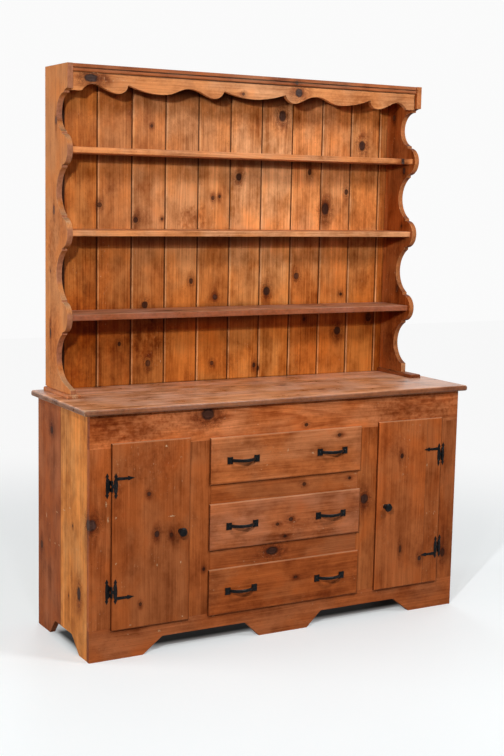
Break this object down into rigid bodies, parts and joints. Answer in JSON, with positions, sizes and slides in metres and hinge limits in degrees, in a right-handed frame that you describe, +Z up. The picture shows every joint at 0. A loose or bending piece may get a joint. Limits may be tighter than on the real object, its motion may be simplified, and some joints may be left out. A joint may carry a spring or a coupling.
{
  "type": "china hutch",
  "caption": "Pine china hutch: a cupboard base with lipped doors and drawers on bracket feet, under open shelves with scalloped sides, a shaped frieze and a boarded back.",
  "frame": {"origin": "on the floor, at the middle of the width and depth of the closed hutch", "axes": "+Z up, the front faces -Y, X runs along the width"},
  "size_m": [1.53, 0.501, 1.943],
  "materials": {
    "pine": "satin",
    "plywood": "raw",
    "black_iron": "satin black",
    "steel": "plain",
    "catch_case": "matt"
  },
  "bodies": {
    "cabinet": {"base_back": "plywood", "base_floor": "pine", "base_side_left": "pine", "base_side_right": "pine", "counter_top": "pine", "cupboard_shelf_left": "pine", "cupboard_shelf_right": "pine", "door_catches": "catch_case", "drawer_kickers": "pine", "drawer_rail_lower": "pine", "drawer_rail_upper": "pine", "drawer_runners": "pine", "face_mid_stile_left": "pine", "face_mid_stile_right": "pine", "face_skirt": "pine", "face_stile_left": "pine", "face_stile_right": "pine", "face_top_rail": "pine", "hinge_frame_screws": "black_iron", "hinge_frame_wings": "black_iron", "hinge_pins": "black_iron", "hutch_back_boards": "pine", "hutch_foot_left": "pine", "hutch_foot_right": "pine", "hutch_frieze": "pine", "hutch_moulding": "pine", "hutch_shelf_lower": "pine", "hutch_shelf_middle": "pine", "hutch_shelf_upper": "pine", "hutch_side_left": "pine", "hutch_side_right": "pine", "hutch_top": "pine", "partition_left": "pine", "partition_right": "pine", "shelf_cleats": "pine"},
    "door_left": {"door_left_hinge_screws": "black_iron", "door_left_hinge_wings": "black_iron", "door_left_knob": "black_iron", "door_left_panel": "pine", "door_left_strike": "steel"},
    "door_right": {"door_right_hinge_screws": "black_iron", "door_right_hinge_wings": "black_iron", "door_right_knob": "black_iron", "door_right_panel": "pine", "door_right_strike": "steel"},
    "drawer_top": {"drawer_top_back": "pine", "drawer_top_front": "pine", "drawer_top_panel": "plywood", "drawer_top_pulls": "black_iron", "drawer_top_sides": "pine"},
    "drawer_middle": {"drawer_middle_back": "pine", "drawer_middle_front": "pine", "drawer_middle_panel": "plywood", "drawer_middle_pulls": "black_iron", "drawer_middle_sides": "pine"},
    "drawer_bottom": {"drawer_bottom_back": "pine", "drawer_bottom_front": "pine", "drawer_bottom_panel": "plywood", "drawer_bottom_pulls": "black_iron", "drawer_bottom_sides": "pine"}
  },
  "joints": [
    {"name": "door_left_hinge", "type": "hinge", "parent": "cabinet", "child": "door_left", "pos_m": [-0.6653, -0.2258, 0.413], "axis": [0, 0, -1], "range_deg": [0, 170]},
    {"name": "door_right_hinge", "type": "hinge", "parent": "cabinet", "child": "door_right", "pos_m": [0.6653, -0.2258, 0.413], "axis": [0, 0, 1], "range_deg": [0, 170]},
    {"name": "drawer_top_slide", "type": "slide", "parent": "cabinet", "child": "drawer_top", "axis": [0, -1, 0], "range_m": [0, 0.32]},
    {"name": "drawer_middle_slide", "type": "slide", "parent": "cabinet", "child": "drawer_middle", "axis": [0, -1, 0], "range_m": [0, 0.32]},
    {"name": "drawer_bottom_slide", "type": "slide", "parent": "cabinet", "child": "drawer_bottom", "axis": [0, -1, 0], "range_m": [0, 0.32]}
  ]
}
